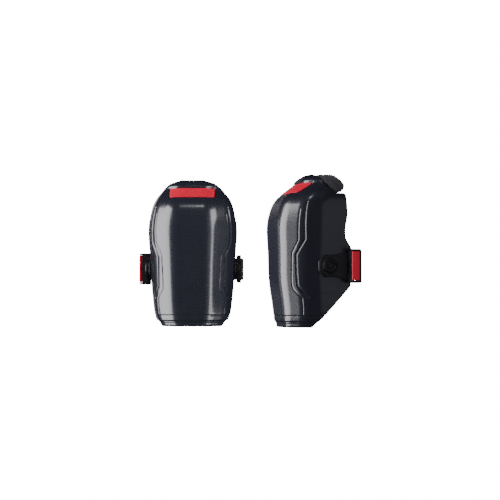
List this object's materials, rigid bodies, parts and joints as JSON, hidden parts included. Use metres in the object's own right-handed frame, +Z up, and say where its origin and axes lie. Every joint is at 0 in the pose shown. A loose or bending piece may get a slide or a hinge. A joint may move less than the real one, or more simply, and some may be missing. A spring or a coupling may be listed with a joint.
{
  "type": "knee pads",
  "caption": "Hard-shell work knee pads for roofing, a right and a left pad with foam padding, swivelling strap arms and a sprung quick-release strap buckle.",
  "frame": {"origin": "centre of the pair's footprint, on the floor that both pads stand on", "axes": "+Z up, +X from the right-knee pad to the left-knee pad, +Y away from the front of the right-knee pad"},
  "size_m": [0.3678, 0.2414, 0.2475],
  "materials": {
    "shell": "glossy near-black blue-grey moulded plastic",
    "badge": "glossy red",
    "foam": "closed-cell foam",
    "gel": "soft gel",
    "liner": "brushed knitted fabric",
    "cushion_fabric": "smooth coated fabric",
    "hardware": "satin black",
    "red_plastic": "satin red",
    "steel": "zinc plated",
    "friction_ring": "natural acetal",
    "webbing": "woven elastic webbing"
  },
  "bodies": {
    "right_pad": {"right_shell": "shell", "right_badge": "badge", "right_foam_core": "foam", "right_gel_insert": "gel", "right_comfort_liner": "liner", "right_upper_cushion": "cushion_fabric", "right_outer_pivot_base": "hardware", "right_outer_backing_washer": "steel", "right_outer_friction_ring": "friction_ring", "right_outer_pivot_cap": "hardware", "right_outer_rivet": "steel", "right_inner_pivot_base": "hardware", "right_inner_backing_washer": "steel", "right_inner_friction_ring": "friction_ring", "right_inner_pivot_cap": "hardware", "right_inner_rivet": "steel"},
    "right_outer_arm": {"right_outer_arm": "hardware", "right_lever_pin": "steel", "right_lever_spring": "steel"},
    "right_release_lever": {"right_release_lever": "red_plastic"},
    "right_inner_arm": {"right_inner_arm": "hardware", "right_strap": "webbing", "right_strap_tab": "webbing", "right_strap_hook": "hardware"},
    "left_pad": {"left_shell": "shell", "left_badge": "badge", "left_foam_core": "foam", "left_gel_insert": "gel", "left_comfort_liner": "liner", "left_upper_cushion": "cushion_fabric", "left_outer_pivot_base": "hardware", "left_outer_backing_washer": "steel", "left_outer_friction_ring": "friction_ring", "left_outer_pivot_cap": "hardware", "left_outer_rivet": "steel", "left_inner_pivot_base": "hardware", "left_inner_backing_washer": "steel", "left_inner_friction_ring": "friction_ring", "left_inner_pivot_cap": "hardware", "left_inner_rivet": "steel"},
    "left_outer_arm": {"left_outer_arm": "hardware", "left_lever_pin": "steel", "left_lever_spring": "steel"},
    "left_release_lever": {"left_release_lever": "red_plastic"},
    "left_inner_arm": {"left_inner_arm": "hardware", "left_strap": "webbing", "left_strap_tab": "webbing", "left_strap_hook": "hardware"}
  },
  "joints": [
    {"name": "right_inner_arm_swivel", "type": "hinge", "parent": "right_pad", "child": "right_inner_arm", "pos_m": [-0.09061, 0.05316, 0.098], "axis": [1, 0, 0], "range_deg": [-10, 10]},
    {"name": "right_outer_arm_swivel", "type": "hinge", "parent": "right_pad", "child": "right_outer_arm", "pos_m": [-0.09061, 0.05316, 0.098], "axis": [1, 0, 0], "range_deg": [-10, 10]},
    {"name": "right_release_lever_hinge", "type": "hinge", "parent": "right_outer_arm", "child": "right_release_lever", "pos_m": [-0.18181, 0.08696, 0.098], "axis": [0, 0, 1], "range_deg": [0, 35], "stiffness_Nm_per_rad": 0.03, "springref_deg": -8.59},
    {"name": "left_inner_arm_swivel", "type": "hinge", "parent": "left_pad", "child": "left_inner_arm", "pos_m": [0.10885, -0.0406, 0.098], "axis": [0.3173, -0.9483, 0], "range_deg": [-10, 10]},
    {"name": "left_outer_arm_swivel", "type": "hinge", "parent": "left_pad", "child": "left_outer_arm", "pos_m": [0.10885, -0.0406, 0.098], "axis": [0.3173, -0.9483, 0], "range_deg": [-10, 10]},
    {"name": "left_release_lever_hinge", "type": "hinge", "parent": "left_outer_arm", "child": "left_release_lever", "pos_m": [0.16984, -0.11636, 0.098], "axis": [0, 0, -1], "range_deg": [0, 35], "stiffness_Nm_per_rad": 0.03, "springref_deg": -8.59},
    {"name": "left_pad_lift", "type": "slide", "parent": "right_pad", "child": "left_pad", "axis": [0, 0, 1], "range_m": [0, 0.3]}
  ],
  "couplings": [
    {"joint": "right_outer_arm_swivel", "follows": "right_inner_arm_swivel", "ratio": 1},
    {"joint": "left_outer_arm_swivel", "follows": "left_inner_arm_swivel", "ratio": 1}
  ]
}
